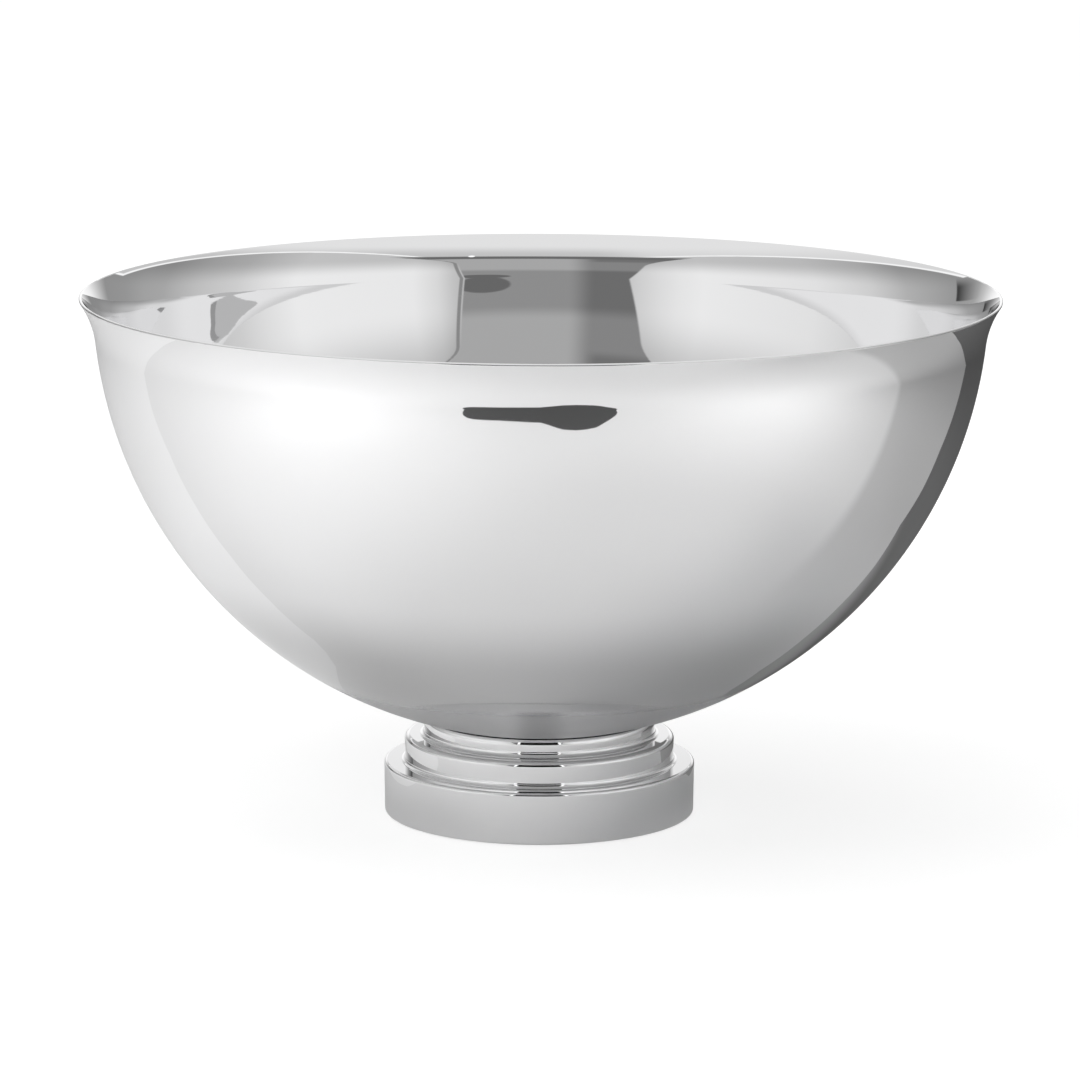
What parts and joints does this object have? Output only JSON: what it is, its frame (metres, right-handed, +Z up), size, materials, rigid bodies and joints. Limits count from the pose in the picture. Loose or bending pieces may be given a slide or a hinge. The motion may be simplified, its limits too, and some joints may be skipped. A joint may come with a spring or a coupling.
{
  "type": "punch bowl",
  "caption": "Deep half-round polished punch bowl with a flared lip, held by a centre stud on a stepped round foot with a soft pad underneath.",
  "frame": {"origin": "centre of the foot's underside, on the surface that the bowl stands on", "axes": "+Z up along the bowl's axis; the bowl is round, so X and Y are equivalent"},
  "size_m": [0.3999, 0.4, 0.23],
  "materials": {
    "polished_bowl": "mirror-polished stainless steel with very faint spinning lines",
    "polished_foot": "mirror-polished stainless steel",
    "turned_steel": "plain turned steel",
    "zinc_steel": "bright zinc plate",
    "seal_rubber": "matt soft rubber",
    "pad_rubber": "matt non-marking foam rubber"
  },
  "bodies": {
    "root": {"bowl_shell": "polished_bowl", "foot_top_ring": "polished_foot", "foot_middle_ring": "polished_foot", "foot_base_ring": "polished_foot", "seal_ring": "seal_rubber", "bowl_boss": "turned_steel", "centre_stud": "zinc_steel", "spacer_tube": "turned_steel", "clamp_plate": "turned_steel", "flat_washer": "zinc_steel", "spring_washer": "zinc_steel", "hex_nut": "zinc_steel", "bottom_plate": "turned_steel", "base_pad": "pad_rubber"}
  },
  "joints": []
}
